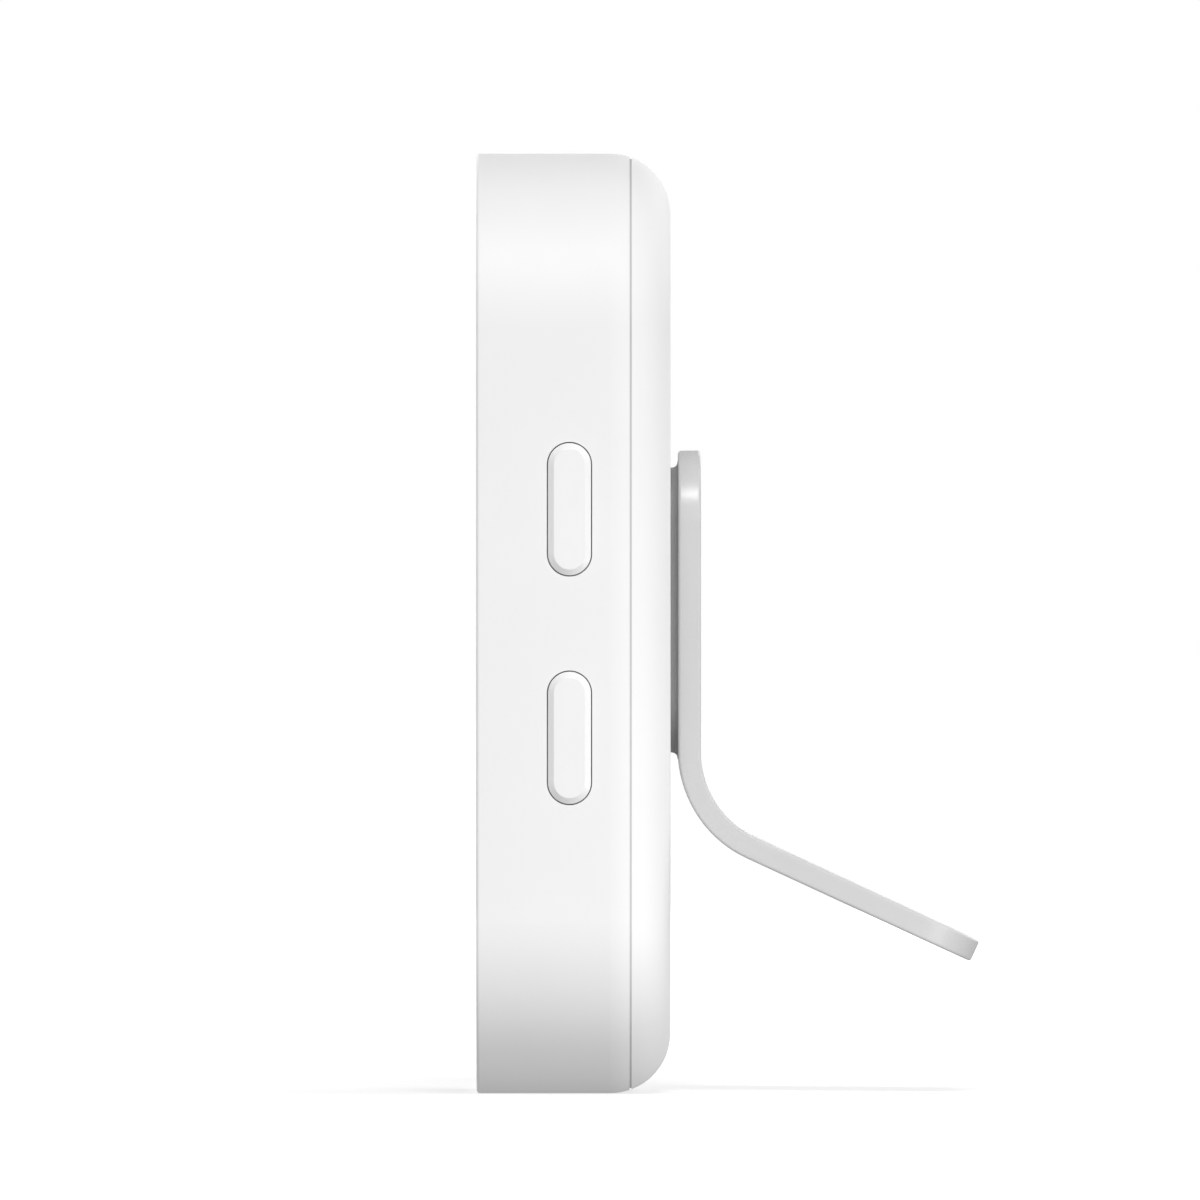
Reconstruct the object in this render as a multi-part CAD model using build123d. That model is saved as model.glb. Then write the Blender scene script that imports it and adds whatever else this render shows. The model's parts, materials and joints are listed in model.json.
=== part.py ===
from build123d import *
import os, math

# Indoor monitor of a video doorbell kit, upright, with its desk stand hooked on.
# X = width, Y = depth (front face towards -Y), Z = up.  Origin on the flat base
# face, which is 10 mm behind the front rim.  Millimetres.

# ---- driving dimensions -------------------------------------------------
W, H = 84.0, 130.0              # body width and height
FRONT_Y, REAR_Y = -10.0, 16.8   # front rim plane, rear face plane
R_CORNER = 23.6                 # corner radius seen from the front
R_REAR = 8.3                    # fillet round the rear edge
R_FRONT = 0.45                  # front rim edge
WALL = 2.0
SEAM_Y, SEAM_W = 11.27, 0.28    # parting groove
SEAM_D = 0.22                   # its depth below the skin
CZ = H / 2

BTN_Y, BTN_PITCH = 2.86, 31.48   # side button centre depth, spacing
BTN_Z = (CZ + 0.0 + BTN_PITCH / 2, CZ - BTN_PITCH / 2)
BTN_OPEN_W, BTN_OPEN_L = 6.25, 18.55
BTN_GAP = 0.17
BTN_PROUD = 0.75
BTN_TRAVEL = 0.4

GLASS_T, GLASS_RECESS = 1.1, 0.2
RIM = 1.7                       # white rim round the glass
LCD_W, LCD_H, LCD_CZ = 61.0, 105.4, 69.5

PLATE_W = 40.0                  # stand plate
PLATE_Y0, PLATE_Y1 = 17.9, 21.05
PLATE_TOP = 88.95
BEND_Z = 47.26
BEND_R = 13.1                   # concave side
BEND_DEG = 65.2
ARM_L = 34.2
R_PLATE_TOP, R_ARM_TIP = 9.7, 9.0
NECK_Z0, NECK_Z1 = 47.1, 86.6
NECK_W, NECK_R = 35.3, 7.4
HOOK_TRAVEL = 6.0

os.makedirs("parts", exist_ok=True)
HX = W / 2


# ---- helpers ------------------------------------------------------------
def box(x0, x1, y0, y1, z0, z1):
    return Pos((x0 + x1) / 2, (y0 + y1) / 2, (z0 + z1) / 2) * Box(x1 - x0, y1 - y0, z1 - z0)


def cyl_y(x, z, r, y0, y1):
    return Pos(x, (y0 + y1) / 2, z) * Rot(90, 0, 0) * Cylinder(r, y1 - y0)


def cyl_x(y, z, r, x0, x1):
    return Pos((x0 + x1) / 2, y, z) * Rot(0, 90, 0) * Cylinder(r, x1 - x0)


def cone_y(x, z, r0, r1, y0, y1):
    return Pos(x, (y0 + y1) / 2, z) * Rot(-90, 0, 0) * Cone(r0, r1, y1 - y0)


def plate_y(w, h, r, y0, y1, cx=0.0, cz=CZ):
    pl = Plane(origin=(cx, y0, cz), x_dir=(1, 0, 0), z_dir=(0, 1, 0))
    return extrude(pl * RectangleRounded(w, h, r), amount=y1 - y0)


def pill_x(w, length, x0, x1, y, z):
    pl = Plane(origin=(x0, y, z), x_dir=(0, 0, 1), z_dir=(1, 0, 0))
    return extrude(pl * SlotOverall(length, w), amount=x1 - x0)


def slot_x(wz, wy, x0, x1, y, z):
    # stadium opening, long side along Z
    pl = Plane(origin=(x0, y, z), x_dir=(0, 0, 1), z_dir=(1, 0, 0))
    return extrude(pl * SlotOverall(wz, wy), amount=x1 - x0)


def one(shape):
    s = shape.solids()
    return s[0] if len(s) == 1 else Compound(children=list(s))


def save(name, shape, color):
    shape = one(shape)
    shape.label = name
    shape.color = Color(*color)
    export_step(shape, "parts/" + name + ".step")


def tube(points, radii, d):
    path = FilletPolyline(*points, radius=radii)
    start = Plane(origin=path @ 0, z_dir=path % 0)
    return sweep(start * Circle(d / 2), path=path)


def screw_y(x, z, y_head, head_r, head_t, shank_r, shank_l, sign=1, sock=True):
    # sign +1: head towards +Y, shank runs to -Y
    a = cyl_y(x, z, head_r, y_head, y_head + head_t) if sign > 0 else cyl_y(x, z, head_r, y_head - head_t, y_head)
    b = cyl_y(x, z, shank_r, y_head - shank_l, y_head) if sign > 0 else cyl_y(x, z, shank_r, y_head, y_head + shank_l)
    s = a + b
    if sock:
        c = head_r * 1.1
        w = head_r * 0.24
        d = head_t * 0.55
        y0, y1 = (y_head + head_t - d, y_head + head_t + 0.1) if sign > 0 else (y_head - head_t - 0.1, y_head - head_t + d)
        s -= box(x - c / 2, x + c / 2, y0, y1, z - w / 2, z + w / 2)
        s -= box(x - w / 2, x + w / 2, y0, y1, z - c / 2, z + c / 2)
    return s


# ---- body shell: one pebble, cut at the seam ------------------------------
outer = plate_y(W, H, R_CORNER, FRONT_Y, REAR_Y)
outer = fillet(outer.edges().filter_by(lambda e: abs(e.center().Y - REAR_Y) < 1e-3), R_REAR)
outer = fillet(outer.edges().filter_by(lambda e: abs(e.center().Y - FRONT_Y) < 1e-3), R_FRONT)

LEDGE_Y0, LEDGE_Y1 = -8.5, -7.3
cav = plate_y(W - 2 * WALL, H - 2 * WALL, R_CORNER - WALL, LEDGE_Y1, REAR_Y - WALL)
cav = fillet(cav.edges().filter_by(lambda e: abs(e.center().Y - (REAR_Y - WALL)) < 1e-3), R_REAR - WALL)

SEAM0, SEAM1 = SEAM_Y - SEAM_W / 2, SEAM_Y + SEAM_W / 2
BIG = 300
front_half = outer & box(-BIG, BIG, -BIG, SEAM0, -BIG, BIG)
rear_half = outer & box(-BIG, BIG, SEAM1, BIG, -BIG, BIG)

# ---- main housing ---------------------------------------------------------
housing = front_half - cav
GO_W, GO_H, GO_R = W - 2 * RIM, H - 2 * RIM, R_CORNER - RIM
housing -= plate_y(GO_W, GO_H, GO_R, FRONT_Y - 1, LEDGE_Y0)
LO_W, LO_H, LO_R = 74.0, 120.0, 15.0
housing -= plate_y(LO_W, LO_H, LO_R, FRONT_Y - 1, LEDGE_Y1 + 0.01)
# rebate for the rear cover's tongue
REB_Y = 9.45
shell_in = plate_y(W - 2.0, H - 2.0, R_CORNER - 1.0, FRONT_Y, REAR_Y - 1.0)
shell_in = fillet(shell_in.edges().filter_by(lambda e: abs(e.center().Y - (REAR_Y - 1.0)) < 1e-3), R_REAR - 1.0)
shell_in = shell_in & box(-BIG, BIG, REB_Y, BIG, -BIG, BIG)
housing -= shell_in


def inset_shape(t):
    # the outer pebble, moved inwards by t
    b = plate_y(W - 2 * t, H - 2 * t, R_CORNER - t, FRONT_Y, REAR_Y - t)
    return fillet(b.edges().filter_by(lambda e: abs(e.center().Y - (REAR_Y - t)) < 1e-3), R_REAR - t)


# the wall behind the groove runs on to meet the rear cover's edge
land = (inset_shape(SEAM_D) - inset_shape(1.0)) & box(-BIG, BIG, SEAM0 - 0.3, SEAM1, -BIG, BIG)
housing += land
# bosses for the frame screws
FRAME_Y0, FRAME_Y1 = -4.35, -3.15
FS = [(sx * 35.7, z) for sx in (-1, 1) for z in (34.0, 65.0, 96.0)]
for x, z in FS:
    sx = 1 if x > 0 else -1
    b = cyl_y(x, z, 2.5, LEDGE_Y1, FRAME_Y0) + box(min(x, sx * 40.2), max(x, sx * 40.2), LEDGE_Y1, FRAME_Y0, z - 1.2, z + 1.2)
    housing += b
    housing -= cyl_y(x, z, 1.0, LEDGE_Y1 + 0.2, FRAME_Y0)
# ribs that guide the side-key bracket
# button openings
for z in BTN_Z:
    housing -= pill_x(BTN_OPEN_W, BTN_OPEN_L, HX - 4, HX + 2, BTN_Y, z)
# USB-C opening and reset hole in the left wall
USB_Z, USB_Y = 30.0, 1.33
housing -= slot_x(9.5, 3.8, -HX - 1, -HX + 3, USB_Y, USB_Z)
RST_Z = 40.5
housing -= cyl_x(USB_Y, RST_Z, 0.6, -HX - 1, -HX + 3)

# ---- front stack ------------------------------------------------------------
G0 = FRONT_Y + GLASS_RECESS
G1 = G0 + GLASS_T
MIC_X, MIC_Z = 9.0, 8.2
glass = plate_y(GO_W - 0.2, GO_H - 0.2, GO_R - 0.1, G0, G1)
glass = chamfer(glass.edges().filter_by(lambda e: abs(e.center().Y - G0) < 1e-3), 0.15)
glass -= cyl_y(MIC_X, MIC_Z, 0.6, G0 - 1, G1 + 1)
adhesive = plate_y(GO_W - 1.0, GO_H - 1.0, GO_R - 0.5, G1, LEDGE_Y0) - plate_y(LO_W + 1.0, LO_H + 1.0, LO_R + 0.5, G1 - 1, LEDGE_Y0 + 1)

OCA0, OCA1 = G1, G1 + 0.25
oca = box(-LCD_W / 2 + 1, LCD_W / 2 - 1, OCA0, OCA1, LCD_CZ - LCD_H / 2 + 2, LCD_CZ + LCD_H / 2 - 1)
PAN0, PAN1 = OCA1, OCA1 + 1.3
panel = box(-LCD_W / 2 + 0.4, LCD_W / 2 - 0.4, PAN0, PAN1, LCD_CZ - LCD_H / 2 + 0.4, LCD_CZ + LCD_H / 2 - 0.4)
BL0, BL1 = PAN1, -4.65
backlight = plate_y(LCD_W, LCD_H, 1.2, BL0, BL1, 0, LCD_CZ)
foam = plate_y(LCD_W - 4, LCD_H - 4, 1.0, BL1, FRAME_Y0, 0, LCD_CZ) - plate_y(LCD_W - 10, LCD_H - 10, 1.0, BL1 - 1, FRAME_Y0 + 1, 0, LCD_CZ)

# touch keys, status LED and microphone behind the glass below the display
TK0, TK1 = G1, G1 + 0.3
touch = plate_y(48, 9.6, 2.0, TK0, TK1, 0, 11.4)
touch += box(-6, 6, TK0, TK1, 15.0, 16.8)
touch -= cyl_y(MIC_X, MIC_Z, 0.6, TK0 - 1, TK1 + 1)
touch -= box(-10.0, -8.0, TK0 - 1, TK1 + 1, MIC_Z - 0.35 - 0.15, MIC_Z + 0.35 + 0.15)
led = box(-9.9, -8.1, TK0, TK0 + 0.75, MIC_Z - 0.4, MIC_Z + 0.4)
mic = box(MIC_X - 1.75, MIC_X + 1.75, TK1, TK1 + 1.0, MIC_Z - 1.3, MIC_Z + 1.3) - cyl_y(MIC_X, MIC_Z, 0.3, TK1 - 1, TK1 + 0.4)

# ---- mid frame -----------------------------------------------------------------
frame_p = plate_y(79.0, 124.0, 21.0, FRAME_Y0, FRAME_Y1)
for x, z in FS:
    frame_p -= cyl_y(x, z, 1.15, FRAME_Y0 - 1, FRAME_Y1 + 1)
frame_p -= plate_y(24, 3.4, 1.0, FRAME_Y0 - 1, FRAME_Y1 + 1, 0, 15.2)
# round windows that save weight behind the display
for x, z in [(-18, 30), (18, 30), (0, 118.5)]:
    frame_p -= cyl_y(x, z, 2.0, FRAME_Y0 - 1, FRAME_Y1 + 1)
# clearance beside the buttons
COVER_POSTS = [(-26.5, 15.5), (26.5, 15.5), (-26.5, 114.5), (26.5, 114.5)]
POST_Y = 6.0
for x, z in COVER_POSTS:
    frame_p += cyl_y(x, z, 3.25, FRAME_Y1 - 0.5, POST_Y)
    frame_p -= cyl_y(x, z, 1.2, -2.2, POST_Y + 1)
PCB0, PCB1 = -1.5, -0.3
BS = [(-28.5, 52.0), (28.5, 52.0), (-28.5, 104.0), (28.5, 104.0)]
for x, z in BS:
    frame_p += cyl_y(x, z, 2.4, FRAME_Y1 - 0.5, PCB0)
    frame_p -= cyl_y(x, z, 0.95, FRAME_Y1 - 0.6, PCB0 + 1)
SPK_Z = 24.0
SS = [(-21.5, SPK_Z), (21.5, SPK_Z)]
for x, z in SS:
    frame_p += cyl_y(x, z, 2.4, FRAME_Y1 - 0.5, 4.0)
    frame_p -= cyl_y(x, z, 0.95, -2.2, 4.0 + 1)
# two cheeks that hold the side-key bracket
KB = [(34.0, 39.4), (34.0, 90.6)]
for x, z in KB:
    frame_p += box(32.2, 34.2, FRAME_Y1 - 0.5, 6.4, z - 1.2, z + 1.2)

frame_screws = None
for x, z in FS:
    s = screw_y(x, z, FRAME_Y1, 1.9, 1.2, 1.0, 3.9)
    frame_screws = s if frame_screws is None else frame_screws + s

# ---- main board --------------------------------------------------------------------
board = plate_y(65.0, 69.0, 2.0, PCB0, PCB1, -0.5, 75.0)
board += box(-39.0, -26.0, PCB0, PCB1, 21.5, 45.0)
board += box(-39.0, -30.0, PCB0, PCB1, 42.0, 47.0)
for x, z in BS:
    board -= cyl_y(x, z, 1.15, PCB0 - 1, PCB1 + 1)

soc = box(2, 16, -2.7, PCB0, 78, 92)
pad_t = box(1, 17, FRAME_Y1, -2.7, 77, 93)
mems = box(-14, -3, -2.6, PCB0, 80, 91) + box(-12, -4, -2.5, PCB0, 66, 72)
lcdc = box(-7, 7, -2.5, PCB0, 46.5, 50.0)
bconn = box(20.0, 26.0, PCB1, PCB1 + 2.0, 58.0, 65.0)
sconn = box(-14.0, -9.0, PCB1, PCB1 + 1.8, 42.0, 45.0)
uconn = cyl_y(-24.0, 96.0, 1.1, PCB1, PCB1 + 1.0)
kconn = box(26.5, 29.5, PCB1, PCB1 + 1.0, 70.0, 78.0)


def shield(x0, x1, z0, z1, y0, y1):
    s = box(x0, x1, y0, y1, z0, z1)
    s = fillet(s.edges().filter_by(lambda e: abs(e.center().Y - y1) < 1e-3), 0.25)
    return s - box(x0 + 0.25, x1 - 0.25, y0 - 1, y1 - 0.25, z0 + 0.25, z1 - 0.25)


wifi_sh = shield(-22.0, -4.0, 84.0, 102.0, PCB1, PCB1 + 1.9)
pow_sh = shield(-20.0, 0.0, 50.0, 68.0, PCB1, PCB1 + 1.9)
wifi_chip = box(-18, -9, PCB1, PCB1 + 1.1, 89, 98)
charge_chip = box(-14, -8, PCB1, PCB1 + 1.1, 56, 62)
board_chips = mems + wifi_chip + charge_chip + box(6, 12, PCB1, PCB1 + 1.2, 84, 92) + box(8, 13, PCB1, PCB1 + 1.2, 50, 55)
connectors = lcdc + bconn + sconn + uconn + kconn

# USB-C receptacle and reset switch on the board's left leg
UX0, UX1 = -40.9, -33.6
shell = slot_x(8.94, 3.26, UX0, UX1, USB_Y, USB_Z) - slot_x(8.34, 2.66, UX0 - 1, UX1 - 0.8, USB_Y, USB_Z)
tongue = box(UX0 + 0.9, UX1 - 0.8, USB_Y - 0.35, USB_Y + 0.35, USB_Z - 3.35, USB_Z + 3.35)
shell_feet = box(-39.0, -37.8, PCB1, PCB1 + 0.25, USB_Z - 4.9, USB_Z - 4.2) + box(-39.0, -37.8, PCB1, PCB1 + 0.25, USB_Z + 4.2, USB_Z + 4.9)
rst_body = box(-38.6, -35.6, PCB1, PCB1 + 2.9, RST_Z - 2.2, RST_Z + 2.2) - cyl_x(USB_Y, RST_Z, 0.62, -39.0, -37.0)
rst_plunger = cyl_x(USB_Y, RST_Z, 0.55, -39.1, -37.5)

# ---- battery and its tray ----------------------------------------------------------
TR0, TR1 = 2.3, 3.5
BAT_CZ = 77.0
tray = plate_y(54.0, 66.0, 2.0, TR0, TR1, 0, BAT_CZ)
for x, z in BS:
    sx = 1 if x > 0 else -1
    tray += cyl_y(x, z, 2.6, PCB1, TR1)
    tray += box(min(x, x - sx * 4), max(x, x - sx * 4), TR0, TR1, z - 2.6, z + 2.6)
for x, z in BS:
    tray -= cyl_y(x, z, 1.15, PCB1 - 1, TR1 + 1)
BAT_W, BAT_H = 50.0, 62.0
tray += (plate_y(BAT_W + 2.6, BAT_H + 2.6, 1.8, TR1 - 0.2, TR1 + 2.0, 0, BAT_CZ) - plate_y(BAT_W + 0.6, BAT_H + 0.6, 1.2, TR1 - 1, TR1 + 3, 0, BAT_CZ))
tray -= box(14, 24, TR1, TR1 + 3, 40.0, 46.0)
for x, z in BS:
    tray -= cyl_y(x, z, 2.05, TR1, TR1 + 3)
board_screws = None
for x, z in BS:
    s = screw_y(x, z, TR1, 1.9, 1.2, 0.95, 6.4)
    board_screws = s if board_screws is None else board_screws + s
bat_pad = box(-21, 21, TR1, TR1 + 0.3, 50, 105)
battery = box(-BAT_W / 2, BAT_W / 2, TR1 + 0.3, 11.6, BAT_CZ - BAT_H / 2 + 2.5, BAT_CZ + BAT_H / 2)
battery = fillet(battery.edges().filter_by(Axis.Z), 2.4)
bat_head = box(-BAT_W / 2 + 1, BAT_W / 2 - 1, TR1 + 1.2, 10.4, BAT_CZ - BAT_H / 2, BAT_CZ - BAT_H / 2 + 2.5)
battery = battery + bat_head
lead_a = tube([(19.0, 7.0, 46.0), (19.0, 7.0, 41.4), (21.5, 0.9, 41.4), (21.5, 0.9, 58.0)], [2.0, 2.0], 1.1)
lead_b = tube([(16.0, 7.0, 46.0), (16.0, 7.0, 39.7), (24.0, 0.9, 39.7), (24.0, 0.9, 58.0)], [2.4, 2.4], 1.1)

# ---- radio antenna --------------------------------------------------------------------
antenna = box(-39.9, -39.4, 0.5, 8.0, 68.0, 104.0)
coax = tube([(-38.9, 3.6, 90.0), (-36.4, 3.6, 90.0), (-33.6, 1.4, 93.0), (-29.0, 1.4, 96.0), (-25.2, 0.35, 96.0)], [1.0, 1.2, 1.2], 0.9)

# ---- side keys -----------------------------------------------------------------------
KBX0, KBX1 = 34.4, 35.4
key_board = box(KBX0, KBX1, -1.0, 6.4, 37.9, 92.1)
bracket = box(34.2, KBX0, -1.6, 7.0, 37.4, 92.6) - box(34.0, 34.5, 0.4, 1.2, 70.0, 78.0) + box(34.2, KBX1 + 0.4, 6.4, 7.2, 37.4, 92.6) + box(34.2, KBX1 + 0.4, -1.8, -1.0, 37.4, 92.6)
switches, plungers, buttons = [], [], []
for z in BTN_Z:
    sw = box(KBX1, 37.4, BTN_Y - 2.25, BTN_Y + 2.25, z - 2.25, z + 2.25) - cyl_x(BTN_Y, z, 1.05, 36.2, 38)
    switches.append(sw)
    plungers.append(cyl_x(BTN_Y, z, 1.0, 36.8, 38.1))
    cap = pill_x(BTN_OPEN_W - 2 * BTN_GAP, BTN_OPEN_L - 2 * BTN_GAP, 38.95, HX + BTN_PROUD, BTN_Y, z)
    top = cap.edges().filter_by(lambda e: abs(e.center().X - (HX + BTN_PROUD)) < 1e-3)
    cap = chamfer(top, 0.68, 0.80)
    rim2 = cap.edges().filter_by(lambda e: abs(e.center().X - (HX + BTN_PROUD)) < 1e-3)
    try:
        cap = fillet(rim2, 0.22)
    except Exception:
        pass
    flange = pill_x(BTN_OPEN_W + 1.6, BTN_OPEN_L + 1.6, 38.95, 39.95, BTN_Y, z)
    nub = cyl_x(BTN_Y, z, 1.6, 38.1, 38.95)
    buttons.append(cap + flange + nub)
kflex = box(30.6, 34.4, 0.7, 0.85, 71.0, 77.0) + box(29.5, 30.75, 0.7, 0.85, 71.0, 77.0)

# ---- lcd flex -------------------------------------------------------------------------
fx = box(-9, 9, -6.6, -6.45, 14.9, LCD_CZ - LCD_H / 2) + box(-9, 9, -6.6, -2.2, 14.9, 15.05) + box(-9, 9, -2.35, -2.2, 14.9, 46.5)

# ---- speaker ------------------------------------------------------------------------
CH0, CH1 = 5.4, 12.9
chamber = plate_y(36, 23, 3.0, CH0, CH1, 0, SPK_Z) - plate_y(33.4, 20.4, 1.8, CH0 + 1.2, CH1 + 1, 0, SPK_Z)
for x, z in SS:
    sx = 1 if x > 0 else -1
    chamber += cyl_y(x, z, 2.6, 4.0, 6.4) + box(min(x, x - sx * 4.2), max(x, x - sx * 4.2), 5.4, 6.4, z - 2.6, z + 2.6)
    chamber -= cyl_y(x, z, 1.15, 3.0, 8.0)
chamber -= box(-11.0, -9.6, 6.8, 8.2, SPK_Z + 9.8, SPK_Z + 12)
spk_screws = None
for x, z in SS:
    s = screw_y(x, z, 6.4, 1.9, 1.2, 0.95, 6.8)
    spk_screws = s if spk_screws is None else spk_screws + s
spk_frame = plate_y(33.2, 20.2, 1.7, 10.4, 13.2, 0, SPK_Z) - plate_y(28.6, 15.6, 6.0, 11.0, 14.0, 0, SPK_Z)
spk_frame -= cyl_y(0, SPK_Z, 6.4, 9.0, 12.0)
spk_frame += plate_y(33.2, 20.2, 1.7, 12.9, 13.2, 0, SPK_Z) - plate_y(28.6, 15.6, 6.0, 11.0, 14.0, 0, SPK_Z)
magnet = cyl_y(0, SPK_Z, 6.2, 8.2, 11.6)
cone = plate_y(28.4, 15.4, 5.9, 12.6, 12.8, 0, SPK_Z) + cyl_y(0, SPK_Z, 5.0, 12.6, 13.0)
spk_gasket = plate_y(33.0, 20.0, 1.7, 13.2, 14.6, 0, SPK_Z) - plate_y(29.0, 16.0, 6.0, 13.0, 15.0, 0, SPK_Z)
mesh_cloth = plate_y(33.0, 17.0, 1.5, 14.6, 14.8, 0, SPK_Z)
spk_lead = tube([(-10.3, 7.5, SPK_Z + 9.0), (-10.3, 7.5, SPK_Z + 14.4), (-11.5, 0.6, SPK_Z + 14.4), (-11.5, 0.6, 42.0)], [1.6, 1.6], 1.0)

# ---- rear cover ----------------------------------------------------------------------
cover = rear_half - cav
TONGUE = 0.85
lip_o = plate_y(W - 2.0 - 0.2, H - 2.0 - 0.2, R_CORNER - 1.1, FRONT_Y, REAR_Y - 1.1)
lip_o = fillet(lip_o.edges().filter_by(lambda e: abs(e.center().Y - (REAR_Y - 1.1)) < 1e-3), R_REAR - 1.1)
lip = (lip_o & box(-BIG, BIG, 9.6, SEAM1 + 0.3, -BIG, BIG)) - cav
cover = cover + lip
# notches in the lip clear of nothing else; posts meet the mid frame's
for x, z in COVER_POSTS:
    cover += cyl_y(x, z, 4.3, POST_Y, REAR_Y - 0.8)
    cover -= cyl_y(x, z, 2.75, 9.5, REAR_Y + 1)
    cover -= cyl_y(x, z, 1.45, POST_Y - 1, 10)
    cover -= cyl_y(x, z, 3.6, REAR_Y - 0.9, REAR_Y + 1)
# hook slots with closed pockets behind them
HK_X, HK_Z = 11.0, (56.0, 76.0)
HOOKS = [(sx * HK_X, z) for sx in (-1, 1) for z in HK_Z]
ST = 2.2          # hook stem height
LIPH = 3.8        # how far the hook lip reaches above the stem
HW = 8.0
for x, z in HOOKS:
    zl, zh = z - HOOK_TRAVEL - 0.35, z + ST + 0.35
    cover += box(x - HW / 2 - 1.5, x + HW / 2 + 1.5, 12.0, 14.9, zl - 1.2, zh + LIPH + 1.4)
for x, z in HOOKS:
    zl, zh = z - HOOK_TRAVEL - 0.35, z + ST + 0.35
    cover -= box(x - HW / 2 - 0.35, x + HW / 2 + 0.35, 12.8, 14.8, zl, zh + LIPH + 0.3)
    cover -= box(x - HW / 2 - 0.35, x + HW / 2 + 0.35, 12.8, REAR_Y + 1, zl, zh)
# speaker grille
holes = None
pitch = 2.6
rows = 5
for r in range(rows):
    zz = SPK_Z + (r - (rows - 1) / 2) * pitch * 0.88
    n = 11 if r % 2 == 0 else 10
    for c in range(n):
        xx = (c - (n - 1) / 2) * pitch
        h = cyl_y(xx, zz, 0.65, 14.0, REAR_Y + 1)
        cover -= h

cover_screws = None
for x, z in COVER_POSTS:
    s = screw_y(x, z, 9.5, 2.4, 1.8, 1.2, 9.5)
    cover_screws = s if cover_screws is None else cover_screws + s
caps = None
for x, z in COVER_POSTS:
    c = cyl_y(x, z, 3.5, REAR_Y - 0.9, REAR_Y - 0.05)
    c = fillet(c.edges().filter_by(lambda e: abs(e.center().Y - (REAR_Y - 0.05)) < 1e-3), 0.2)
    c = c + cyl_y(x, z, 2.65, REAR_Y - 3.4, REAR_Y - 0.9)
    caps = c if caps is None else caps + c

# ---- stand ---------------------------------------------------------------------------
T = PLATE_Y1 - PLATE_Y0
cyb = PLATE_Y1 + BEND_R
a_end = math.radians(180 + BEND_DEG)
a_mid = math.radians(180 + BEND_DEG / 2)


def on(r, a):
    return (cyb + r * math.cos(a), BEND_Z + r * math.sin(a))


Ro = BEND_R + T
d = (-math.sin(a_end), math.cos(a_end))
pin, pout = on(BEND_R, a_end), on(Ro, a_end)
tin = (pin[0] + ARM_L * d[0], pin[1] + ARM_L * d[1])
tout = (pout[0] + ARM_L * d[0], pout[1] + ARM_L * d[1])
YZ = Plane(origin=(0, 0, 0), x_dir=(0, 1, 0), z_dir=(1, 0, 0))
prof = [
    Line((PLATE_Y0, PLATE_TOP), (PLATE_Y0, BEND_Z)),
    ThreePointArc((PLATE_Y0, BEND_Z), on(Ro, a_mid), pout),
    Line(pout, tout), Line(tout, tin), Line(tin, pin),
    ThreePointArc(pin, on(BEND_R, a_mid), (PLATE_Y1, BEND_Z)),
    Line((PLATE_Y1, BEND_Z), (PLATE_Y1, PLATE_TOP)),
    Line((PLATE_Y1, PLATE_TOP), (PLATE_Y0, PLATE_TOP)),
]
face = make_face(YZ * (Curve() + prof))
stand = extrude(face, amount=PLATE_W / 2, both=True)
if abs(stand.bounding_box().max.X + stand.bounding_box().min.X) > 1e-6:
    raise SystemExit("stand plate is not centred")
top_e = stand.edges().filter_by(lambda e: abs(e.center().Z - PLATE_TOP) < 1e-3 and abs(abs(e.center().X) - PLATE_W / 2) < 1e-3)
stand = fillet(top_e, R_PLATE_TOP)
tipc = ((tin[0] + tout[0]) / 2, (tin[1] + tout[1]) / 2)
tip_e = stand.edges().filter_by(lambda e: math.hypot(e.center().Y - tipc[0], e.center().Z - tipc[1]) < 1e-2 and abs(abs(e.center().X) - PLATE_W / 2) < 1e-3)
stand = fillet(tip_e, R_ARM_TIP)
# soften the outline edges on both broad faces
sharp = []
for e in stand.edges():
    c = e.center()
    if e.length > 2 and not (abs(e.length - T) < 0.05):
        on_side = abs(abs(c.X) - PLATE_W / 2) < 1e-3
        sharp.append(e)
edge_r = 0.4
side_faces_edges = []
for f in stand.faces():
    pass
broad = [f for f in stand.faces() if f.area > 400]
broad_edges = []
for f in broad:
    for e in f.edges():
        broad_edges.append(e)
# keep only edges shared by one broad face (outline), not bend tangents
def key(e):
    c = e @ 0.37
    c2 = e @ 0.63
    a = sorted([(round(c.X, 3), round(c.Y, 3), round(c.Z, 3)), (round(c2.X, 3), round(c2.Y, 3), round(c2.Z, 3))])
    return tuple(a)
cnt = {}
for e in broad_edges:
    cnt.setdefault(key(e), []).append(e)
outline = [v[0] for v in cnt.values() if len(v) == 1]
try:
    stand2 = fillet(outline, edge_r)
    stand = stand2
    print("stand outline fillet ok", len(outline))
except Exception as ex:
    print("stand outline fillet failed", ex)
# screws come through the neck into blind tapped holes
SSC = [(0.0, 55.0), (0.0, 79.0)]
for x, z in SSC:
    stand -= cyl_y(x, z, 1.5, PLATE_Y0 - 1, PLATE_Y0 + 2.2)

NECK_Y0 = REAR_Y + 0.08
NCZ = (NECK_Z0 + NECK_Z1) / 2
neck = plate_y(NECK_W, NECK_Z1 - NECK_Z0, NECK_R, NECK_Y0, PLATE_Y0, 0, NCZ)
# concave flare where the pad meets the plate
FR = 0.92
neck += plate_y(NECK_W + 2 * FR, NECK_Z1 - NECK_Z0 + 2 * FR, NECK_R + FR, PLATE_Y0 - 0.06, PLATE_Y0, 0, NCZ)


def neck_dist(e):
    m = e @ 0.5
    qx = max(abs(m.X) - (NECK_W / 2 - NECK_R), 0)
    qz = max(abs(m.Z - NCZ) - ((NECK_Z1 - NECK_Z0) / 2 - NECK_R), 0)
    return math.hypot(qx, qz) - NECK_R


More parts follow.
